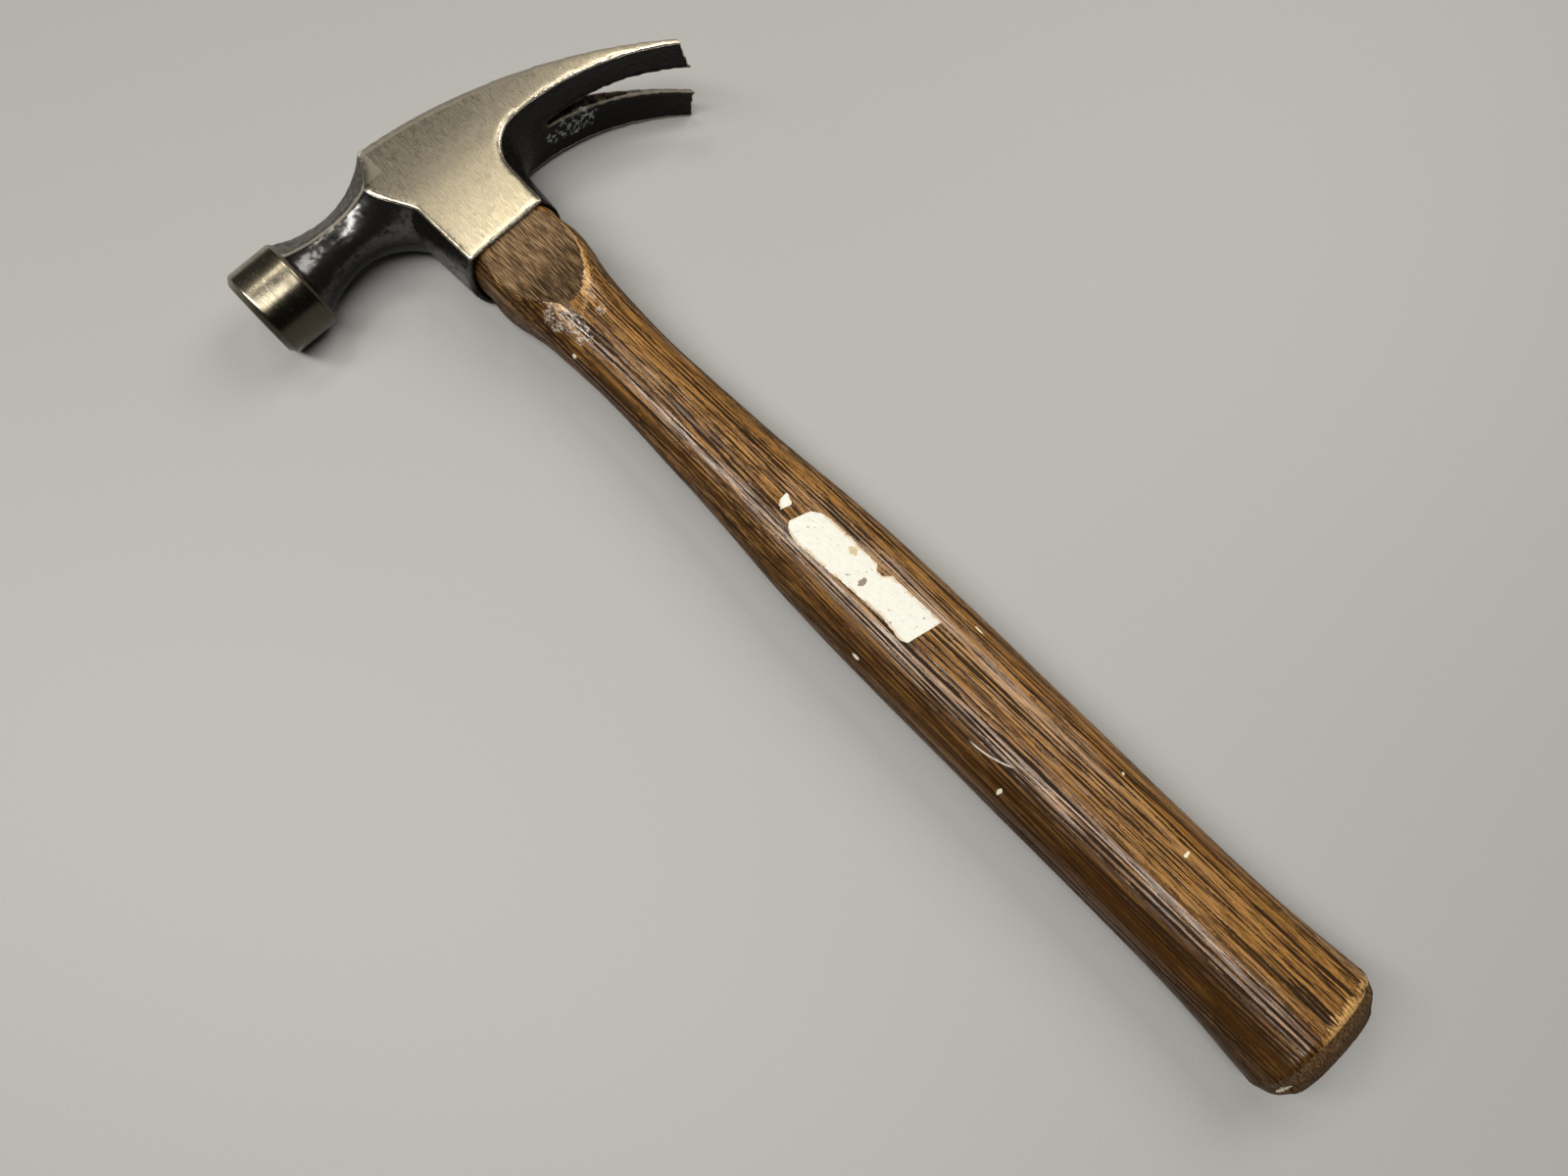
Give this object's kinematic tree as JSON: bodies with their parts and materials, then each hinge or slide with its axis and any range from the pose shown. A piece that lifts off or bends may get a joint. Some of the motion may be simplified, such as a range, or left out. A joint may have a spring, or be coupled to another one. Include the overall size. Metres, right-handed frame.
{
  "type": "claw hammer",
  "caption": "Straight-claw hammer: bright steel head with a round face, black-painted neck and slotted claws, wedged on an oval handle of dark open-grained wood",
  "frame": {"origin": "middle of the underside of the box around the whole hammer, which lies on its side", "axes": "+X runs along the head from the striking face towards the claws, +Y runs up the handle from its butt to the head, +Z is the thickness and points up from the surface that the hammer lies on"},
  "size_m": [0.139, 0.344, 0.0332],
  "materials": {
    "head_steel": "brushed bare steel on the bell, cheeks and claw sides; glossy black paint, chipped at its edges, on the neck, collar ends and claw undersides",
    "handle_wood": "open-grained wood, stained dark brown, worn semi-gloss varnish",
    "wedge_wood": "bare hardwood, aged",
    "wedge_steel": "dull dark steel",
    "label_paper": "torn off-white paper, spotted brown"
  },
  "bodies": {
    "root": {"head": "head_steel", "handle": "handle_wood", "wooden_wedge": "wedge_wood", "steel_wedge_front": "wedge_steel", "steel_wedge_rear": "wedge_steel", "label": "label_paper", "label_scrap": "label_paper"}
  },
  "joints": []
}
